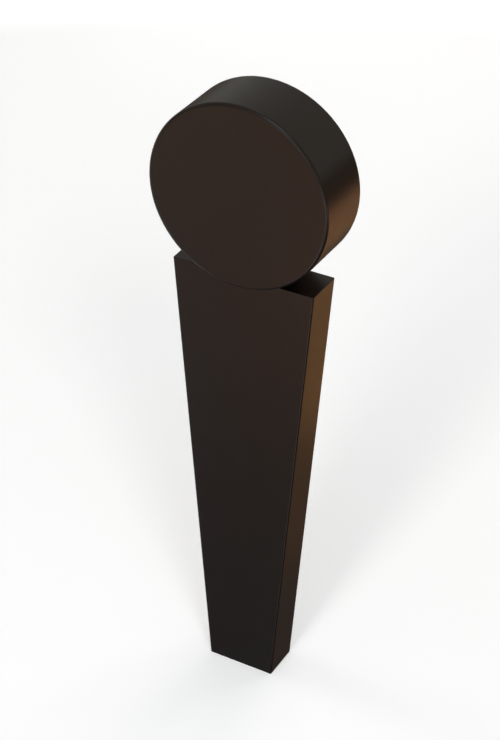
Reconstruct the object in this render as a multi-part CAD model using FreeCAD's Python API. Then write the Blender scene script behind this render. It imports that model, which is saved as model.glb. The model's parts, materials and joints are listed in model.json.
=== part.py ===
"""Disc-headed bollard post: a tapering box post of welded plates, closed at its top by two
caps, with a drum-shaped head bedded between them. The origin is on the ground at the centre
of the foot, +Z is up, +X is across the broad front and the front faces -Y. Lengths are in
millimetres."""

import FreeCAD, Part
import math
import os

from FreeCAD import Vector

# --- Post: four plates welded into a box that widens from the foot to the top ---
POST_HEIGHT = 651.5
TOP_WIDTH = 206.0
FOOT_WIDTH = 100.0
POST_DEPTH = 58.0
PLATE = 3.0
CORNER_RADIUS = 2.0
TOP_EDGE_RADIUS = 0.8
DRAIN_RADIUS = 6.0

# --- Head: a drum with its axis along the post's depth, dipping into the post's top ---
HEAD_RADIUS = 127.5
HEAD_THICKNESS = 90.0
HEAD_CENTRE_Z = 772.5
HEAD_EDGE_RADIUS = 4.0
FRONT_LIP_DEPTH = 12.0
REAR_LIP_WIDTH = 10.0
SEAM_GAP = 0.5

# --- Rear cover of the head, and what it closes against ---
COVER_GAP = 0.4
COVER_EDGE_BREAK = 0.5
GASKET_THICKNESS = 1.5
GASKET_WIDTH = 12.0
SEAT_THICKNESS = 4.0
SEAT_WIDTH = 15.0
COVER_SCREW_INSET = 7.5
COVER_SCREW_RADIUS = 2.4
COVER_SCREW_HEAD_RADIUS = 4.6
COVER_SCREW_LENGTH = 12.0
COVER_SCREW_TIP = 0.4
COVER_SCREW_KEY = 3.0
COVER_SCREW_PLAY = 0.3

# --- M8 fasteners, used at the foot, at the neck and in the head ---
BOLT_RADIUS = 3.9
THREAD_PLAY = 0.1
CLEARANCE_RADIUS = 4.5
HEX_ACROSS_FLATS = 13.0
HEX_CHAMFER = 0.8
BOLT_HEAD_HEIGHT = 5.3
BOLT_TIP = 0.8
NUT_HEIGHT = 6.5
COLLAR_HEIGHT = 1.5
COLLAR_RADIUS = 5.5
WASHER_RADIUS = 8.0
WASHER_BORE_RADIUS = 4.2
WASHER_THICKNESS = 1.6
BUTTON_RADIUS = 7.0
BUTTON_HEIGHT = 4.4
BUTTON_LENGTH = 18.0
BUTTON_KEY = 5.0

# --- Folded brackets: the anchor shoe on the ground and the neck under the head ---
BRACKET_PLATE = 5.0
BRACKET_BEND = 3.0
BRACKET_PLAY = 0.5
SHOE_HALF_WIDTH = 44.0
SHOE_HEIGHT = 80.0
ANCHOR_SPACING = 56.0
ANCHOR_HOLE_RADIUS = 6.5
FOOT_SCREW_Z = 52.0
FOOT_SCREW_X = 26.0
NECK_HALF_WIDTH = 36.0
NECK_HEIGHT = 72.0
NECK_SCREW_DROP = 44.0
NECK_SCREW_X = 22.0

# --- Blocks above and below the drum's rim, and the bolts through them ---
SADDLE_HALF_WIDTH = 35.0
SADDLE_HALF_DEPTH = 24.0
SADDLE_THICKNESS = 14.0
SADDLE_RISE = 4.0
CLAMP_HALF_WIDTH = 35.0
CLAMP_HALF_DEPTH = 22.0
CLAMP_THICKNESS = 9.0
HEAD_BOLT_X = 22.0
HEAD_BOLT_Y = 9.0
HEAD_BOLT_SPARE = 2.5

# --- Stiffener: a tray welded inside the post at mid height ---
STIFFENER_Z = 330.0
STIFFENER_LIP = 25.0
STIFFENER_BEND = 2.0
STIFFENER_GAP = 0.5
STIFFENER_HOLE_RADIUS = 18.0

# --- Counts and limits ---
HEX_SIDES = 6
FULL_TURN = 360.0
SAME_PLACE = 1e-6

# --- Worked out from the sizes above ---
HALF_DEPTH = POST_DEPTH / 2
INNER_HALF_DEPTH = HALF_DEPTH - PLATE
BRACKET_HALF_DEPTH = INNER_HALF_DEPTH - BRACKET_PLAY
TAPER = (TOP_WIDTH - FOOT_WIDTH) / 2 / POST_HEIGHT
SIDE_SLICE = PLATE * math.sqrt(1 + TAPER**2)
HEAD_HALF = HEAD_THICKNESS / 2
HEAD_INNER_RADIUS = HEAD_RADIUS - PLATE
HEAD_EDGE_INNER_RADIUS = HEAD_EDGE_RADIUS - PLATE
HEAD_DROP = HEAD_CENTRE_Z - POST_HEIGHT
CAP_EDGE_X = math.sqrt((HEAD_RADIUS + SEAM_GAP) ** 2 - HEAD_DROP**2)
COVER_OPENING_RADIUS = HEAD_RADIUS - REAR_LIP_WIDTH
COVER_RADIUS = COVER_OPENING_RADIUS - COVER_GAP
COVER_SCREW_CIRCLE = COVER_OPENING_RADIUS - COVER_SCREW_INSET
NECK_TOP_Z = HEAD_CENTRE_Z - HEAD_RADIUS - SADDLE_THICKNESS
NECK_SCREW_Z = NECK_TOP_Z - NECK_SCREW_DROP
NECK_UNDERSIDE_Z = NECK_TOP_Z - BRACKET_PLATE
SADDLE_TOP_Z = NECK_TOP_Z + SADDLE_THICKNESS + SADDLE_RISE
CLAMP_BOTTOM_Z = HEAD_CENTRE_Z - HEAD_INNER_RADIUS
CLAMP_TOP_Z = CLAMP_BOTTOM_Z + CLAMP_THICKNESS
HEX_CORNER_RADIUS = HEX_ACROSS_FLATS / math.sqrt(3)

X_AXIS = Vector(1, 0, 0)
Y_AXIS = Vector(0, 1, 0)
Z_AXIS = Vector(0, 0, 1)
DOWN = Vector(0, 0, -1)
REAR_INWARD = Vector(0, -1, 0)


# --- Simple shapes ---
def block(low, high):
    """A box from its lowest corner to its highest."""
    size = Vector(*high) - Vector(*low)
    return Part.makeBox(size.x, size.y, size.z, Vector(*low))


def rod(radius, length, start, direction):
    return Part.makeCylinder(radius, length, start, direction)


def ring(outer, inner, length, start, direction):
    return rod(outer, length, start, direction).cut(rod(inner, length, start, direction))


def prism(points, direction):
    """A closed outline pushed along a direction."""
    outline = Part.makePolygon(points + [points[0]])
    return Part.Face(outline).extrude(direction)


def hexagon_rod(across_flats, length, start, direction):
    """A hexagonal rod standing on start."""
    corner = across_flats / math.sqrt(3)
    points = [Vector(corner * math.cos(a), corner * math.sin(a), 0) for a in sixths()]
    return placed(prism(points, Z_AXIS * length), start, direction)


def sixths():
    """The angles of six places evenly round a circle."""
    return [math.radians(FULL_TURN / HEX_SIDES * step) for step in range(HEX_SIDES)]


def placed(shape, start, direction):
    """The shape, made on the origin along +Z, turned to direction and moved to start."""
    shape.Placement = FreeCAD.Placement(start, FreeCAD.Rotation(Z_AXIS, direction))
    return shape


def without(shape, cutters):
    for cutter in cutters:
        shape = shape.cut(cutter)
    return shape


def turned(points):
    """A half outline of (radius, height) points in order, turned about +Z."""
    outline = Part.makePolygon([Vector(r, 0, z) for r, z in points + [points[0]]])
    return Part.Face(outline).revolve(Vector(0, 0, 0), Z_AXIS, FULL_TURN)


def edges_where(shape, test):
    """The straight and round edges whose two ends and middle all pass a test."""
    found = []
    for edge in shape.Edges:
        middle = edge.valueAt((edge.FirstParameter + edge.LastParameter) / 2)
        if all(test(point) for point in [v.Point for v in edge.Vertexes] + [middle]):
            found.append(edge)
    return found


def near(a, b):
    return abs(a - b) < SAME_PLACE


# --- Fasteners, each made at a place and along a direction ---
def washer(start, direction):
    return ring(WASHER_RADIUS, WASHER_BORE_RADIUS, WASHER_THICKNESS, start, direction)


def hexagon_body(height, start, direction):
    """A hexagon with its corners turned off at both ends, as on a nut or a bolt head."""
    shy = HEX_CORNER_RADIUS - HEX_CHAMFER
    outline = [(0, 0), (shy, 0), (HEX_CORNER_RADIUS, HEX_CHAMFER / 2)]
    outline += [(HEX_CORNER_RADIUS, height - HEX_CHAMFER / 2), (shy, height), (0, height)]
    body = placed(turned(outline), start, direction)
    return body.common(hexagon_rod(HEX_ACROSS_FLATS, height, start, direction))


def nut(start, direction):
    bore = rod(BOLT_RADIUS + THREAD_PLAY, NUT_HEIGHT, start, direction)
    return hexagon_body(NUT_HEIGHT, start, direction).cut(bore)


def lock_nut(start, direction):
    """A nut with the round collar that holds its locking ring."""
    collar_start = start + direction * NUT_HEIGHT
    collar = rod(COLLAR_RADIUS, COLLAR_HEIGHT, collar_start, direction)
    bore = rod(BOLT_RADIUS + THREAD_PLAY, NUT_HEIGHT + COLLAR_HEIGHT, start, direction)
    return hexagon_body(NUT_HEIGHT, start, direction).fuse(collar).cut(bore)


def shank(radius, length, start, direction):
    """A threaded shank with its tip chamfered."""
    tip = radius - BOLT_TIP
    outline = [(0, 0), (radius, 0), (radius, length - BOLT_TIP), (tip, length), (0, length)]
    return placed(turned(outline), start, direction)


def hexagon_bolt(length, start, direction):
    """A bolt whose head sits behind start and whose shank runs along direction."""
    head = hexagon_body(BOLT_HEAD_HEIGHT, start, direction * -1)
    return head.fuse(shank(BOLT_RADIUS, length, start, direction))


def button_screw(start, direction):
    """A round-headed socket screw, its head behind start."""
    dome = (BUTTON_RADIUS**2 + BUTTON_HEIGHT**2) / (2 * BUTTON_HEIGHT)
    tilt = math.asin(BUTTON_RADIUS / dome) / 2
    rise = dome * math.cos(tilt) - (dome - BUTTON_HEIGHT)
    foot = Vector(BUTTON_RADIUS, 0, 0)
    crown = Vector(0, 0, BUTTON_HEIGHT)
    arc = Part.Arc(foot, Vector(dome * math.sin(tilt), 0, rise), crown).toShape()
    sides = Part.makePolygon([crown, Vector(0, 0, 0), foot])
    outline = Part.Wire([arc] + sides.Edges)
    outwards = direction * -1
    head = Part.Face(outline).revolve(Vector(0, 0, 0), Z_AXIS, FULL_TURN)
    head = placed(head, start, outwards)
    key_start = start + outwards * (BUTTON_HEIGHT / 2)
    key = hexagon_rod(BUTTON_KEY, BUTTON_HEIGHT, key_start, outwards)
    return head.cut(key).fuse(shank(BOLT_RADIUS, BUTTON_LENGTH, start, direction))


def flush_screw(start, direction):
    """A countersunk socket screw whose flat top is at start."""
    depth = COVER_SCREW_HEAD_RADIUS - COVER_SCREW_RADIUS
    tip = COVER_SCREW_RADIUS - COVER_SCREW_TIP
    outline = [(0, 0), (COVER_SCREW_HEAD_RADIUS, 0), (COVER_SCREW_RADIUS, depth)]
    outline += [(COVER_SCREW_RADIUS, COVER_SCREW_LENGTH - COVER_SCREW_TIP)]
    outline += [(tip, COVER_SCREW_LENGTH), (0, COVER_SCREW_LENGTH)]
    body = placed(turned(outline), start, direction)
    return body.cut(hexagon_rod(COVER_SCREW_KEY, depth, start, direction))


# --- Places that several pieces share ---
def screw_places(spread, height, y):
    return [Vector(x, y, height) for x in (-spread, spread)]


def head_bolt_places(height):
    signs = (-1, 1)
    return [Vector(HEAD_BOLT_X * i, HEAD_BOLT_Y * j, height) for i in signs for j in signs]


def cover_screw_places(y):
    places = []
    for angle in sixths():
        x = COVER_SCREW_CIRCLE * math.cos(angle)
        places.append(Vector(x, y, HEAD_CENTRE_Z + COVER_SCREW_CIRCLE * math.sin(angle)))
    return places


def rear_screw_holes(spread, height):
    """Clearance holes for a pair of button screws, right through the rear wall."""
    places = screw_places(spread, height, HALF_DEPTH)
    return [rod(CLEARANCE_RADIUS, HALF_DEPTH, p, REAR_INWARD) for p in places]


# --- Post ---
def broad_panel():
    """A broad wall as it stands at the front: a tapering plate with its outer edges ground
    round, except at the foot, and the notch that beds the head."""
    foot = FOOT_WIDTH / 2
    top = TOP_WIDTH / 2
    outline = [(-foot, 0), (foot, 0), (top, POST_HEIGHT), (-top, POST_HEIGHT)]
    plate = prism([Vector(x, -HALF_DEPTH, z) for x, z in outline], Y_AXIS * PLATE)
    front = edges_where(plate, lambda p: near(p.y, -HALF_DEPTH))
    corners = [edge for edge in front if not near(edge.Length, edge.BoundBox.XLength)]
    plate = plate.makeFillet(CORNER_RADIUS, corners)
    upper = edges_where(plate, lambda p: near(p.z, POST_HEIGHT))
    outer = [edge for edge in upper if edge.BoundBox.YMin < -INNER_HALF_DEPTH - SAME_PLACE]
    return plate.makeFillet(TOP_EDGE_RADIUS, outer).cut(drum_space())


def drum_space():
    start = Vector(0, -POST_DEPTH, HEAD_CENTRE_Z)
    return rod(HEAD_RADIUS + SEAM_GAP, 2 * POST_DEPTH, start, Y_AXIS)


def rear_panel():
    """The front wall turned to the back, with its screw holes and the drain at its foot."""
    panel = broad_panel().mirror(Vector(0, 0, 0), Y_AXIS)
    holes = rear_screw_holes(FOOT_SCREW_X, FOOT_SCREW_Z)
    holes += rear_screw_holes(NECK_SCREW_X, NECK_SCREW_Z)
    drain = rod(DRAIN_RADIUS, POST_DEPTH, Vector(0, 0, 0), Y_AXIS)
    return without(panel, holes + [drain])


def side_inner_x(z):
    """How far the side walls' inner faces are from the middle, at a height."""
    return FOOT_WIDTH / 2 + TAPER * z - SIDE_SLICE


def between_broad_walls(outline):
    """An outline of (x, z) points filled from the front wall to the rear one."""
    points = [Vector(x, -INNER_HALF_DEPTH, z) for x, z in outline]
    return prism(points, Y_AXIS * 2 * INNER_HALF_DEPTH)


def right_side():
    """The narrow sloping wall between the two broad ones, its top edge ground round."""
    top = TOP_WIDTH / 2
    outline = [(FOOT_WIDTH / 2, 0), (top, POST_HEIGHT)]
    outline += [(side_inner_x(POST_HEIGHT), POST_HEIGHT), (side_inner_x(0), 0)]
    wall = between_broad_walls(outline)
    edge = edges_where(wall, lambda p: near(p.z, POST_HEIGHT) and near(p.x, top))
    return wall.makeFillet(TOP_EDGE_RADIUS, edge)


def left_side():
    return right_side().mirror(Vector(0, 0, 0), X_AXIS)


def right_cap():
    """The flat plate that closes the post's top from the head to the side wall."""
    underside = POST_HEIGHT - PLATE
    outline = [(CAP_EDGE_X, underside), (side_inner_x(underside), underside)]
    outline += [(side_inner_x(POST_HEIGHT), POST_HEIGHT), (CAP_EDGE_X, POST_HEIGHT)]
    return between_broad_walls(outline)


def left_cap():
    return right_cap().mirror(Vector(0, 0, 0), X_AXIS)


def folded_tray(half_width, half_depth, plate, inner_bend, web_z, lip_z):
    """A plate folded down, or up, into a lip at the front and at the rear."""
    low = min(web_z, lip_z)
    high = max(web_z, lip_z)
    outer = block((-half_width, -half_depth, low), (half_width, half_depth, high))
    bends = edges_where(outer, lambda p: near(p.z, web_z) and near(abs(p.y), half_depth))
    outer = outer.makeFillet(inner_bend + plate, bends)
    inside = half_depth - plate
    step = plate if lip_z > web_z else -plate
    inner_web = web_z + step
    far = lip_z + step
    inner_low = (-half_width, -inside, min(inner_web, far))
    inner_high = (half_width, inside, max(inner_web, far))
    inner = block(inner_low, inner_high)
    folds = edges_where(inner, lambda p: near(p.z, inner_web) and near(abs(p.y), inside))
    return outer.cut(inner.makeFillet(inner_bend, folds))


def mid_stiffener():
    """The inner tray that holds the broad walls apart, with a hole for water to fall through."""
    lip_z = STIFFENER_Z - STIFFENER_LIP
    half_width = side_inner_x(lip_z) - STIFFENER_GAP
    tray = folded_tray(
        half_width, INNER_HALF_DEPTH, PLATE, STIFFENER_BEND, STIFFENER_Z, lip_z
    )
    hole = rod(STIFFENER_HOLE_RADIUS, PLATE, Vector(0, 0, STIFFENER_Z), DOWN)
    return tray.cut(hole)


# --- Foot ---
def anchor_shoe():
    """The bracket fixed to the ground, its two upturned walls inside the post's broad walls."""
    tray = folded_tray(
        SHOE_HALF_WIDTH, BRACKET_HALF_DEPTH, BRACKET_PLATE, BRACKET_BEND, 0.0, SHOE_HEIGHT
    )
    anchors = screw_places(ANCHOR_SPACING / 2, 0.0, 0.0)
    holes = [rod(ANCHOR_HOLE_RADIUS, BRACKET_PLATE, p, Z_AXIS) for p in anchors]
    return without(tray, holes + rear_screw_holes(FOOT_SCREW_X, FOOT_SCREW_Z))


def weld_nuts(spread, height):
    """The nuts on the inner face of a bracket's rear wall."""
    face = BRACKET_HALF_DEPTH - BRACKET_PLATE
    return Part.makeCompound([nut(p, REAR_INWARD) for p in screw_places(spread, height, face)])


def rear_screws(spread, height):
    face = HALF_DEPTH + WASHER_THICKNESS
    places = screw_places(spread, height, face)
    return Part.makeCompound([button_screw(p, REAR_INWARD) for p in places])


def rear_washers(spread, height):
    places = screw_places(spread, height, HALF_DEPTH)
    return Part.makeCompound([washer(p, Y_AXIS) for p in places])


# --- Neck ---
def neck_bracket():
    """The bracket under the head, its two downturned walls inside the post's broad walls."""
    lip_z = NECK_TOP_Z - NECK_HEIGHT
    tray = folded_tray(
        NECK_HALF_WIDTH, BRACKET_HALF_DEPTH, BRACKET_PLATE, BRACKET_BEND, NECK_TOP_Z, lip_z
    )
    bolt_holes = head_bolt_holes(NECK_TOP_Z, BRACKET_PLATE)
    return without(tray, bolt_holes + rear_screw_holes(NECK_SCREW_X, NECK_SCREW_Z))


def head_bolt_holes(top_z, depth):
    return [rod(CLEARANCE_RADIUS, depth, p, DOWN) for p in head_bolt_places(top_z)]


def drum_rod(radius):
    start = Vector(0, -HEAD_HALF, HEAD_CENTRE_Z)
    return rod(radius, HEAD_THICKNESS, start, Y_AXIS)


def saddle_block():
    """The block that the head rests on: flat below, hollowed to the drum above."""
    low = (-SADDLE_HALF_WIDTH, -SADDLE_HALF_DEPTH, NECK_TOP_Z)
    high = (SADDLE_HALF_WIDTH, SADDLE_HALF_DEPTH, SADDLE_TOP_Z)
    body = block(low, high).cut(drum_rod(HEAD_RADIUS))
    return without(body, head_bolt_holes(SADDLE_TOP_Z, SADDLE_TOP_Z - NECK_TOP_Z))


def clamp_block():
    """The block inside the drum that the head bolts pull down on."""
    low = (-CLAMP_HALF_WIDTH, -CLAMP_HALF_DEPTH, CLAMP_BOTTOM_Z)
    high = (CLAMP_HALF_WIDTH, CLAMP_HALF_DEPTH, CLAMP_TOP_Z)
    body = block(low, high).common(drum_rod(HEAD_INNER_RADIUS))
    return without(body, head_bolt_holes(CLAMP_TOP_Z, CLAMP_THICKNESS))


# --- Head ---
def round_ended_rod(radius, length, end_y, direction, end_radius):
    """A rod about the drum's axis from end_y, with the edge of that end rounded."""
    body = rod(radius, length, Vector(0, end_y, HEAD_CENTRE_Z), direction)
    end = [e for e in body.Edges if near(e.BoundBox.YMin, end_y) and near(e.BoundBox.YMax, end_y)]
    return body.makeFillet(end_radius, end)


def turned_edge(length, end_y, direction):
    """A closed drum end: a flat plate whose edge is turned back into a rim."""
    inner_y = end_y + direction.y * PLATE
    outer = round_ended_rod(HEAD_RADIUS, length, end_y, direction, HEAD_EDGE_RADIUS)
    return outer.cut(
        round_ended_rod(HEAD_INNER_RADIUS, length, inner_y, direction, HEAD_EDGE_INNER_RADIUS)
    )


def head_front_disc():
    """The plain front face, pressed with a short rim that is welded to the band."""
    return turned_edge(FRONT_LIP_DEPTH, -HEAD_HALF, Y_AXIS)


def head_band():
    """The rest of the drum's rim, its rear edge turned in round the opening for the cover."""
    length = HEAD_THICKNESS - FRONT_LIP_DEPTH
    band = turned_edge(length, HEAD_HALF, REAR_INWARD)
    opening = rod(COVER_OPENING_RADIUS, PLATE, Vector(0, HEAD_HALF, HEAD_CENTRE_Z), REAR_INWARD)
    return without(band, [opening] + head_bolt_holes(HEAD_CENTRE_Z, HEAD_RADIUS))


def cover_screw_holes(radius, y, depth):
    return [rod(radius, depth, p, REAR_INWARD) for p in cover_screw_places(y)]


def head_rear_cover():
    """The lid let into the drum's back, its edge broken and its screw holes countersunk."""
    disc = rod(COVER_RADIUS, PLATE, Vector(0, HEAD_HALF, HEAD_CENTRE_Z), REAR_INWARD)
    rim = [e for e in disc.Edges if near(e.BoundBox.YMin, HEAD_HALF)]
    disc = disc.makeChamfer(COVER_EDGE_BREAK, rim)
    sink = COVER_SCREW_HEAD_RADIUS - COVER_SCREW_RADIUS
    wide = COVER_SCREW_HEAD_RADIUS + COVER_SCREW_PLAY
    narrow = COVER_SCREW_RADIUS + COVER_SCREW_PLAY
    places = cover_screw_places(HEAD_HALF)
    cones = [Part.makeCone(wide, narrow, sink, p, REAR_INWARD) for p in places]
    return without(disc, cones + cover_screw_holes(narrow, HEAD_HALF, PLATE))


def cover_gasket():
    face = HEAD_HALF - PLATE
    inner = COVER_RADIUS - GASKET_WIDTH
    start = Vector(0, face, HEAD_CENTRE_Z)
    seal = ring(COVER_RADIUS, inner, GASKET_THICKNESS, start, REAR_INWARD)
    radius = COVER_SCREW_RADIUS + COVER_SCREW_PLAY
    return without(seal, cover_screw_holes(radius, face, GASKET_THICKNESS))


def cover_seat():
    """The ring welded inside the drum that the cover is screwed to."""
    face = HEAD_HALF - PLATE - GASKET_THICKNESS
    inner = COVER_OPENING_RADIUS - SEAT_WIDTH
    start = Vector(0, face, HEAD_CENTRE_Z)
    seat = ring(HEAD_INNER_RADIUS, inner, SEAT_THICKNESS, start, REAR_INWARD)
    tapped = COVER_SCREW_RADIUS + THREAD_PLAY
    return without(seat, cover_screw_holes(tapped, face, SEAT_THICKNESS))


def cover_screws():
    screws = [flush_screw(p, REAR_INWARD) for p in cover_screw_places(HEAD_HALF)]
    return Part.makeCompound(screws)


# --- Head bolts: from inside the drum down through the saddle and the neck ---
def head_bolts():
    top = CLAMP_TOP_Z + WASHER_THICKNESS
    nut_end = NECK_UNDERSIDE_Z - WASHER_THICKNESS - NUT_HEIGHT - COLLAR_HEIGHT
    length = top - nut_end + HEAD_BOLT_SPARE
    return Part.makeCompound([hexagon_bolt(length, p, DOWN) for p in head_bolt_places(top)])


def head_bolt_washers():
    upper = [washer(p, Z_AXIS) for p in head_bolt_places(CLAMP_TOP_Z)]
    lower = [washer(p, DOWN) for p in head_bolt_places(NECK_UNDERSIDE_Z)]
    return Part.makeCompound(upper + lower)


def head_bolt_nuts():
    face = NECK_UNDERSIDE_Z - WASHER_THICKNESS
    return Part.makeCompound([lock_nut(p, DOWN) for p in head_bolt_places(face)])


PIECES = {
    "front_panel": broad_panel,
    "rear_panel": rear_panel,
    "left_side": left_side,
    "right_side": right_side,
    "left_cap": left_cap,
    "right_cap": right_cap,
    "mid_stiffener": mid_stiffener,
    "anchor_shoe": anchor_shoe,
    "shoe_weld_nuts": lambda: weld_nuts(FOOT_SCREW_X, FOOT_SCREW_Z),
    "foot_screws": lambda: rear_screws(FOOT_SCREW_X, FOOT_SCREW_Z),
    "foot_screw_washers": lambda: rear_washers(FOOT_SCREW_X, FOOT_SCREW_Z),
    "neck_bracket": neck_bracket,
    "neck_weld_nuts": lambda: weld_nuts(NECK_SCREW_X, NECK_SCREW_Z),
    "neck_screws": lambda: rear_screws(NECK_SCREW_X, NECK_SCREW_Z),
    "neck_screw_washers": lambda: rear_washers(NECK_SCREW_X, NECK_SCREW_Z),
    "saddle_block": saddle_block,
    "clamp_block": clamp_block,
    "head_bolts": head_bolts,
    "head_bolt_washers": head_bolt_washers,
    "head_bolt_nuts": head_bolt_nuts,
    "head_band": head_band,
    "head_front_disc": head_front_disc,
    "head_rear_cover": head_rear_cover,
    "cover_seat": cover_seat,
    "cover_gasket": cover_gasket,
    "cover_screws": cover_screws,
}


def main():
    os.makedirs("parts", exist_ok=True)
    for node, make in PIECES.items():
        shape = make()
        shape.exportStep(f"parts/{node}.step")


main()
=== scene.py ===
import json
from math import cos, radians, sin

import bmesh
import bpy
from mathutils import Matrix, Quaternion, Vector

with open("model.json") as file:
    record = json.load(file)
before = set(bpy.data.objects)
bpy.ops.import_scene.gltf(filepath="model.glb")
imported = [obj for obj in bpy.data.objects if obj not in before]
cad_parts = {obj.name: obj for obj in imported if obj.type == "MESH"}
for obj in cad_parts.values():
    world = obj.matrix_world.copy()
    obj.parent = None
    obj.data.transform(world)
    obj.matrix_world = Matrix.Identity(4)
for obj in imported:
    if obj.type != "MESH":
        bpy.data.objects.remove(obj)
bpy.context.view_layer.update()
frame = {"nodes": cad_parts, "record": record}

NODES = frame["nodes"]
SCENE = bpy.context.scene
COLLECTION = SCENE.collection

# Places of the sockets in a Mix node that blends two colours
MIX_SHARE = 0
MIX_A = 6
MIX_B = 7
MIX_RESULT = 2


def colour(red, green, blue):
    return (red, green, blue, 1.0)


def grey(shade):
    return colour(shade, shade, shade)


# ---------------------------------------------------------------- materials
# Widths and heights are in metres: how wide a pattern's lumps are, how high its bumps.

EDGE_SAMPLES = 6
EDGE_TURN = 0.75  # cosine of the turn at which an edge counts as fully round

BRONZE_DARK = colour(0.0315, 0.0142, 0.0061)
BRONZE_MID = colour(0.0335, 0.0153, 0.0067)
BRONZE_LIGHT = colour(0.0355, 0.0164, 0.0073)
BRONZE_FLAKE = colour(0.080, 0.040, 0.019)
BRONZE_RUBBED = colour(0.044, 0.026, 0.017)
PAINT_ROUGH = 0.40
COAT_ROUGH = 0.3
CLOUD_WIDTH = 0.12
MOTTLE_WIDTH = 0.014
FLAKE_WIDTH = 0.0006
RUBBED_RADIUS = 0.0012
RUBBED_WIDTH = 0.02
HANDLED_WIDTH = 0.035
PAINT_GRAIN_WIDTH = 0.0012
PEEL_WIDTH = 0.0024
FINE_PEEL_WIDTH = 0.0007
PEEL_HEIGHT = 0.00002

ZINC_DARK = colour(0.24, 0.245, 0.25)
ZINC_LIGHT = colour(0.33, 0.335, 0.34)
ZINC_STAIN = colour(0.17, 0.168, 0.16)
SPANGLE_WIDTH = 0.006
STAIN_WIDTH = 0.03
ZINC_GRAIN_WIDTH = 0.0009
ZINC_GRAIN_STRETCH = (1.0, 1.0, 0.15)
ZINC_GRAIN_HEIGHT = 0.00002

BLACKENED_DARK = colour(0.012, 0.011, 0.010)
BLACKENED_LIGHT = colour(0.03, 0.027, 0.024)
BLACKENED_RUBBED = colour(0.09, 0.085, 0.08)
BLACKENED_PATCH_WIDTH = 0.006
BLACKENED_EDGE_RADIUS = 0.0004
BLACKENED_SHEEN_WIDTH = 0.002
BLACKENED_GRAIN_WIDTH = 0.0006
BLACKENED_GRAIN_HEIGHT = 0.00001

RUBBER_DARK = colour(0.012, 0.012, 0.012)
RUBBER_BLOOM = colour(0.026, 0.026, 0.027)
BLOOM_WIDTH = 0.012
RUBBER_SHEEN_WIDTH = 0.004
RUBBER_GRAIN_WIDTH = 0.0008
RUBBER_GRAIN_HEIGHT = 0.00003


class Surface:
    """A procedural material: one Principled shader and the nodes that feed it."""

    def __init__(self, name):
        self.material = bpy.data.materials.new(name)
        self.material.use_nodes = True
        self.tree = self.material.node_tree
        self.shader = self.tree.nodes["Principled BSDF"]
        self.where = self.node("ShaderNodeTexCoord").outputs["Object"]

    def node(self, kind, **settings):
        made = self.tree.nodes.new(kind)
        for key, value in settings.items():
            setattr(made, key, value)
        return made

    def feed(self, socket, value):
        """Links a socket, or sets it where the value is a plain number or colour."""
        if isinstance(value, bpy.types.NodeSocket):
            self.tree.links.new(value, socket)
        else:
            socket.default_value = value

    def stretched(self, stretch):
        mapping = self.node("ShaderNodeMapping")
        self.feed(mapping.inputs["Vector"], self.where)
        mapping.inputs["Scale"].default_value = stretch
        return mapping.outputs["Vector"]

    def noise(self, width, detail=2.0, rough=0.5, where=None):
        """Soft noise from 0 to 1 whose lumps are about `width` across."""
        made = self.node("ShaderNodeTexNoise")
        self.feed(made.inputs["Vector"], where or self.where)
        made.inputs["Scale"].default_value = 1 / width
        made.inputs["Detail"].default_value = detail
        made.inputs["Roughness"].default_value = rough
        return made.outputs["Fac"]

    def cells(self, width):
        """A random value from 0 to 1 in each cell, about `width` across."""
        made = self.node("ShaderNodeTexVoronoi")
        self.feed(made.inputs["Vector"], self.where)
        made.inputs["Scale"].default_value = 1 / width
        parts = self.node("ShaderNodeSeparateColor")
        self.feed(parts.inputs["Color"], made.outputs["Color"])
        return parts.outputs["Red"]

    def spread(self, value, low, high, start=0.0, end=1.0):
        """Turns a value that goes from start to end into one that goes from low to high."""
        made = self.node("ShaderNodeMapRange")
        self.feed(made.inputs["Value"], value)
        made.inputs["From Min"].default_value = start
        made.inputs["From Max"].default_value = end
        made.inputs["To Min"].default_value = low
        made.inputs["To Max"].default_value = high
        return made.outputs["Result"]

    def combined(self, a, b, kind="ADD"):
        made = self.node("ShaderNodeMath", operation=kind)
        self.feed(made.inputs[0], a)
        self.feed(made.inputs[1], b)
        return made.outputs["Value"]

    def blend(self, share, a, b):
        """Colour a, turning to colour b as share goes from 0 to 1."""
        made = self.node("ShaderNodeMix", data_type="RGBA")
        self.feed(made.inputs[MIX_SHARE], share)
        self.feed(made.inputs[MIX_A], a)
        self.feed(made.inputs[MIX_B], b)
        return made.outputs[MIX_RESULT]

    def rounded_edges(self, radius):
        """0 on flat faces, rising to 1 on the edges that paint and handling thin out."""
        bevel = self.node("ShaderNodeBevel", samples=EDGE_SAMPLES)
        bevel.inputs["Radius"].default_value = radius
        flat = self.node("ShaderNodeNewGeometry")
        dot = self.node("ShaderNodeVectorMath", operation="DOT_PRODUCT")
        self.feed(dot.inputs[0], bevel.outputs["Normal"])
        self.feed(dot.inputs[1], flat.outputs["Normal"])
        return self.spread(dot.outputs["Value"], low=1.0, high=0.0, start=EDGE_TURN, end=1.0)

    def bump(self, height, distance, strength):
        made = self.node("ShaderNodeBump")
        self.feed(made.inputs["Height"], height)
        made.inputs["Distance"].default_value = distance
        made.inputs["Strength"].default_value = strength
        return made.outputs["Normal"]

    def finish(self, base, roughness, normal, **uniform):
        """Feeds the shader; what is the same all over is set on its own sockets."""
        self.feed(self.shader.inputs["Base Color"], base)
        self.feed(self.shader.inputs["Roughness"], roughness)
        self.feed(self.shader.inputs["Normal"], normal)
        for name, value in uniform.items():
            self.shader.inputs[name.replace("_", " ")].default_value = value
        return self.material


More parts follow.
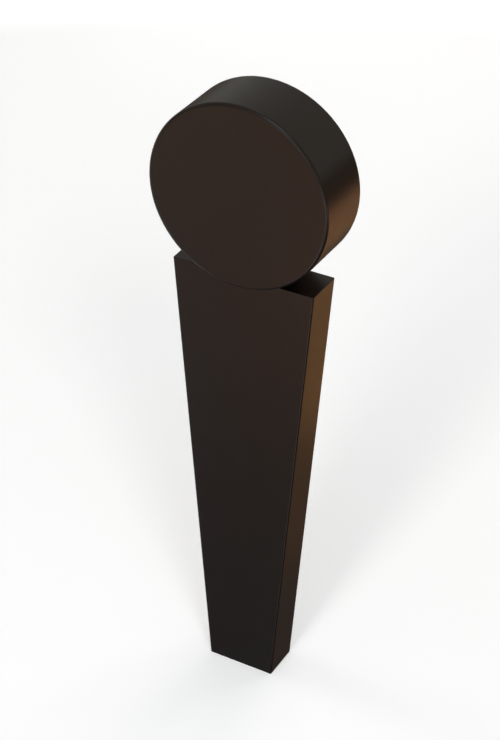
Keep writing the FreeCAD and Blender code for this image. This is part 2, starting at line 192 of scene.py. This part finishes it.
def bronze_paint():
    """Dark bronze metallic powder coat, satin, rubbed a little lighter on its edges."""
    s = Surface("bronze_powder_coat")
    cloud = s.spread(s.noise(CLOUD_WIDTH, detail=3.0), low=0.0, high=1.0, start=0.3, end=0.7)
    base = s.blend(cloud, BRONZE_DARK, BRONZE_LIGHT)
    mottle = s.spread(s.noise(MOTTLE_WIDTH, detail=3.0), low=0.0, high=0.5, start=0.35, end=0.65)
    base = s.blend(mottle, base, BRONZE_MID)
    flakes = s.spread(s.cells(FLAKE_WIDTH), low=0.0, high=0.3, start=0.6, end=1.0)
    base = s.blend(flakes, base, BRONZE_FLAKE)
    patches = s.noise(RUBBED_WIDTH, detail=4.0)
    rubbed = s.combined(s.rounded_edges(RUBBED_RADIUS), patches, "MULTIPLY")
    base = s.blend(rubbed, base, BRONZE_RUBBED)
    handled = s.noise(HANDLED_WIDTH, detail=5.0, rough=0.6)
    handled = s.spread(handled, low=-0.04, high=0.04, start=0.3, end=0.7)
    grain = s.spread(s.noise(PAINT_GRAIN_WIDTH), low=-0.03, high=0.03, start=0.3, end=0.7)
    rough = s.combined(s.combined(handled, grain), PAINT_ROUGH)
    fine_peel = s.spread(s.noise(FINE_PEEL_WIDTH, detail=1.0), low=0.0, high=0.4)
    peel = s.combined(s.noise(PEEL_WIDTH, detail=1.0), fine_peel)
    return s.finish(
        base, rough, s.bump(peel, PEEL_HEIGHT, strength=0.5),
        Metallic=1.0, Coat_Weight=1.0, Coat_Roughness=COAT_ROUGH,
    )


def zinc_steel():
    """Zinc-plated folded steel, dull, with faint spangle and handling marks."""
    s = Surface("dull_zinc_plate")
    spangle = s.spread(s.cells(SPANGLE_WIDTH), low=0.0, high=1.0)
    base = s.blend(spangle, ZINC_DARK, ZINC_LIGHT)
    stain = s.noise(STAIN_WIDTH, detail=5.0, rough=0.6)
    stain = s.spread(stain, low=0.0, high=0.6, start=0.45, end=0.75)
    base = s.blend(stain, base, ZINC_STAIN)
    rough = s.spread(spangle, low=0.36, high=0.5)
    grain = s.noise(ZINC_GRAIN_WIDTH, where=s.stretched(ZINC_GRAIN_STRETCH))
    normal = s.bump(grain, ZINC_GRAIN_HEIGHT, strength=0.5)
    return s.finish(base, rough, normal, Metallic=1.0)


def dark_fasteners():
    """Blackened stainless steel, satin."""
    s = Surface("blackened_steel")
    patch = s.noise(BLACKENED_PATCH_WIDTH, detail=3.0)
    patch = s.spread(patch, low=0.0, high=1.0, start=0.35, end=0.7)
    base = s.blend(patch, BLACKENED_DARK, BLACKENED_LIGHT)
    base = s.blend(s.rounded_edges(BLACKENED_EDGE_RADIUS), base, BLACKENED_RUBBED)
    rough = s.noise(BLACKENED_SHEEN_WIDTH, detail=3.0)
    rough = s.spread(rough, low=0.3, high=0.42, start=0.3, end=0.7)
    normal = s.bump(s.noise(BLACKENED_GRAIN_WIDTH), BLACKENED_GRAIN_HEIGHT, strength=0.4)
    return s.finish(base, rough, normal, Metallic=1.0)


def gasket_rubber():
    """Black sealing rubber, matt."""
    s = Surface("black_sealing_rubber")
    bloom = s.spread(s.noise(BLOOM_WIDTH, detail=4.0), low=0.0, high=1.0, start=0.4, end=0.8)
    base = s.blend(bloom, RUBBER_DARK, RUBBER_BLOOM)
    rough = s.spread(s.noise(RUBBER_SHEEN_WIDTH), low=0.7, high=0.9)
    normal = s.bump(s.noise(RUBBER_GRAIN_WIDTH), RUBBER_GRAIN_HEIGHT, strength=0.5)
    return s.finish(base, rough, normal)


FINISHES = {
    "bronze_paint": bronze_paint(),
    "zinc_steel": zinc_steel(),
    "dark_fasteners": dark_fasteners(),
    "gasket_rubber": gasket_rubber(),
}
for row in frame["record"]["subparts"]:
    mesh = NODES[row["node"]].data
    mesh.materials.clear()
    mesh.materials.append(FINISHES[row["material_slot"]])


# ------------------------------------------------------------------- stage
# The floor glows a little, and more from FLOOR_NEAR to FLOOR_FAR metres out, so that it
# runs into the pale backdrop without an edge.

FLOOR_HALF = 20.0
FLOOR_CORNERS = [(-1, -1), (1, -1), (1, 1), (-1, 1)]
FLOOR_DROP = 0.0002
FLOOR_GLOW = 0.256
FLOOR_FAR_GLOW = 1.0
FLOOR_NEAR = 2.2
FLOOR_FAR = 3.0
FLOOR_PALE = 0.80
FLOOR_PALEST = 0.82
FLOOR_CLOUD_WIDTH = 0.4
FLOOR_SHEEN_WIDTH = 0.05
FLOOR_GRAIN_WIDTH = 0.002
FLOOR_GRAIN_HEIGHT = 0.00002
BACKDROP_GLOW = 1.0
BACKDROP_STEPS = 24
BACKDROP_CLOUD_WIDTH = 4.0
BACKDROP_GRAIN_WIDTH = 1.0
BACKDROP_GRAIN_HEIGHT = 0.0001
SKY_ABOVE = colour(0.266, 0.273, 0.256)
SKY_BELOW = colour(0.083, 0.064, 0.054)


def staged(name, mesh, material):
    """A piece of the studio: only the camera sees it, so it leaves the object's light alone."""
    made = bpy.data.objects.new(name, mesh)
    COLLECTION.objects.link(made)
    mesh.materials.append(material)
    made.visible_glossy = False
    made.visible_diffuse = False
    made.visible_shadow = False


def floor():
    """A pale matt floor, just under the object's foot."""
    mesh = bpy.data.meshes.new("floor")
    mesh.from_pydata(
        [(FLOOR_HALF * x, FLOOR_HALF * y, -FLOOR_DROP) for x, y in FLOOR_CORNERS],
        [], [(0, 1, 2, 3)],
    )
    s = Surface("pale_floor")
    s.finish(
        s.blend(s.noise(FLOOR_CLOUD_WIDTH, detail=3.0), grey(FLOOR_PALE), grey(FLOOR_PALEST)),
        s.spread(s.noise(FLOOR_SHEEN_WIDTH), low=0.85, high=0.95),
        s.bump(s.noise(FLOOR_GRAIN_WIDTH), FLOOR_GRAIN_HEIGHT, strength=0.3),
        Emission_Color=grey(1.0), Specular_IOR_Level=0.0,
    )
    away = s.node("ShaderNodeVectorMath", operation="LENGTH")
    s.feed(away.inputs[0], s.where)
    glow = s.spread(
        away.outputs["Value"],
        low=FLOOR_GLOW, high=FLOOR_FAR_GLOW, start=FLOOR_NEAR, end=FLOOR_FAR,
    )
    s.feed(s.shader.inputs["Emission Strength"], glow)
    staged("floor", mesh, s.material)


def backdrop():
    """A glowing dome far behind everything, for views that look past the floor's edge."""
    mesh = bpy.data.meshes.new("backdrop")
    dome = bmesh.new()
    bmesh.ops.create_uvsphere(
        dome, u_segments=2 * BACKDROP_STEPS, v_segments=BACKDROP_STEPS, radius=FLOOR_HALF
    )
    dome.to_mesh(mesh)
    dome.free()
    s = Surface("pale_backdrop")
    s.finish(
        s.blend(s.noise(BACKDROP_CLOUD_WIDTH), grey(0.0), grey(0.01)),
        1.0,
        s.bump(s.noise(BACKDROP_GRAIN_WIDTH), BACKDROP_GRAIN_HEIGHT, strength=0.1),
        Emission_Color=grey(1.0), Emission_Strength=BACKDROP_GLOW, Specular_IOR_Level=0.0,
    )
    staged("backdrop", mesh, s.material)


def sky():
    """Dim light from all round: brighter from above than from below."""
    world = bpy.data.worlds.new("studio")
    world.use_nodes = True
    nodes = world.node_tree.nodes
    link = world.node_tree.links.new
    where = nodes.new("ShaderNodeTexCoord")
    split = nodes.new("ShaderNodeSeparateXYZ")
    above = nodes.new("ShaderNodeMath")
    above.operation = "GREATER_THAN"
    above.inputs[1].default_value = 0.0
    tint = nodes.new("ShaderNodeMix")
    tint.data_type = "RGBA"
    tint.inputs[MIX_A].default_value = SKY_BELOW
    tint.inputs[MIX_B].default_value = SKY_ABOVE
    link(where.outputs["Generated"], split.inputs["Vector"])
    link(split.outputs["Z"], above.inputs[0])
    link(above.outputs["Value"], tint.inputs[MIX_SHARE])
    link(tint.outputs[MIX_RESULT], nodes["Background"].inputs["Color"])
    SCENE.world = world


floor()
backdrop()
sky()
SCENE.view_settings.view_transform = "Standard"


# ------------------------------------------------------------------ lights
# The floor's own lights cast the soft shadows. All the others are what the metal reflects:
# a studio that is brightest in front, and the glow of its pale floor from below.

MIDDLE = Vector((0.0, 0.0, 0.45))
ROUND_DISTANCE = 3.0
KEY_SIZE = 0.6
WIDE = 1.2
NEAR_FRONT_SIZE = 0.5
NEAR_SIDE_SIZE = 0.4
UPPER_FRONT = (0, 0, 0.75)
UPPER_RIGHT_WALL = (0.1, 0, 0.65)


def panel(name, place, aim, size, watts, seen_in_gloss=True):
    """A soft round light at `place`, facing `aim`; its watts are red, green and blue."""
    light = bpy.data.lights.new(name, "AREA")
    light.shape = "DISK"
    light.size = size
    light.energy = max(watts)
    light.color = [share / max(watts) for share in watts]
    made = bpy.data.objects.new(name, light)
    made.location = place
    made.rotation_mode = "QUATERNION"
    made.rotation_quaternion = (Vector(aim) - Vector(place)).to_track_quat("-Z", "Y")
    made.visible_camera = False
    made.visible_glossy = seen_in_gloss
    COLLECTION.objects.link(made)


def round_panel(name, azimuth, elevation, watts, size=WIDE, seen_in_gloss=True):
    """A light on a sphere about the middle: degrees round from +X, and up from the floor."""
    turn, rise = radians(azimuth), radians(elevation)
    way = Vector((cos(turn) * cos(rise), sin(turn) * cos(rise), sin(rise)))
    panel(name, MIDDLE + way * ROUND_DISTANCE, MIDDLE, size, watts, seen_in_gloss)


def floor_light(name, azimuth, elevation, watts, size=WIDE):
    """A light for the floor and its shadows alone: it leaves no glint on the metal."""
    round_panel(name, azimuth, elevation, watts, size, seen_in_gloss=False)


floor_light("front_key", -85, 33, (32.8, 30.5, 29.3), KEY_SIZE)
floor_light("right_key", -50, 45, (21.6, 21.1, 20.9), KEY_SIZE)
floor_light("left", 180, 10, (23.6, 23.0, 23.2))
floor_light("rear_left", 120, 10, (8.6, 8.5, 8.5))
floor_light("rear_high", 90, 35, (14.5, 13.7, 13.7))
floor_light("rear_right", 60, 10, (16.0, 16.0, 16.0))

round_panel("high_front", -60, 65, (5.0, 7.0, 9.6))
round_panel("front", -90, 10, (4.0, 5.4, 6.8))
round_panel("front_below", -90, -35, (3.4, 4.4, 5.2))
round_panel("right_low", -60, -12, (6.6, 7.4, 7.6))
round_panel("right_side", 0, -15, (5.2, 4.5, 4.0))
round_panel("rear_low", 90, -12, (5.5, 4.6, 4.0))
round_panel("left_side", 180, -12, (5.5, 4.6, 4.0))
round_panel("left_low", -120, -12, (2.1, 1.5, 1.1))
round_panel("left_below", -150, -35, (4.9, 6.9, 8.6))
round_panel("under_front", -115, -58, (0.02, 0.30, 0.50))

panel("front_near", (-0.2, -1.0, 0.1), UPPER_FRONT, NEAR_FRONT_SIZE, (0.238, 0.141, 0.088))
panel("right_near", (0.6, 0.9, 0.2), UPPER_RIGHT_WALL, NEAR_SIDE_SIZE, (0.255, 0.121, 0.049))
panel("right_close", (0.35, 0.5, -0.1), UPPER_RIGHT_WALL, NEAR_SIDE_SIZE, (0.030, 0.012, 0.001))
panel("right_below", (0.35, 0.9, -0.1), UPPER_RIGHT_WALL, NEAR_SIDE_SIZE, (0.152, 0.072, 0.020))


# ------------------------------------------------------------------ camera

AZIMUTH = radians(29.111)
ELEVATION = radians(33.753)
ROLL = radians(0.380)
TARGET = Vector((-0.00387, 0.0, 0.49137))
DISTANCE = 2.73975
LENS = 100.467

back = Vector((
    sin(AZIMUTH) * cos(ELEVATION),
    -cos(AZIMUTH) * cos(ELEVATION),
    sin(ELEVATION),
))
lens = bpy.data.cameras.new("camera")
lens.lens = LENS
camera = bpy.data.objects.new("camera", lens)
camera.location = TARGET + back * DISTANCE
camera.rotation_mode = "QUATERNION"
camera.rotation_quaternion = (
    (-back).to_track_quat("-Z", "Y") @ Quaternion((0, 0, 1), ROLL)
)
COLLECTION.objects.link(camera)
SCENE.camera = camera
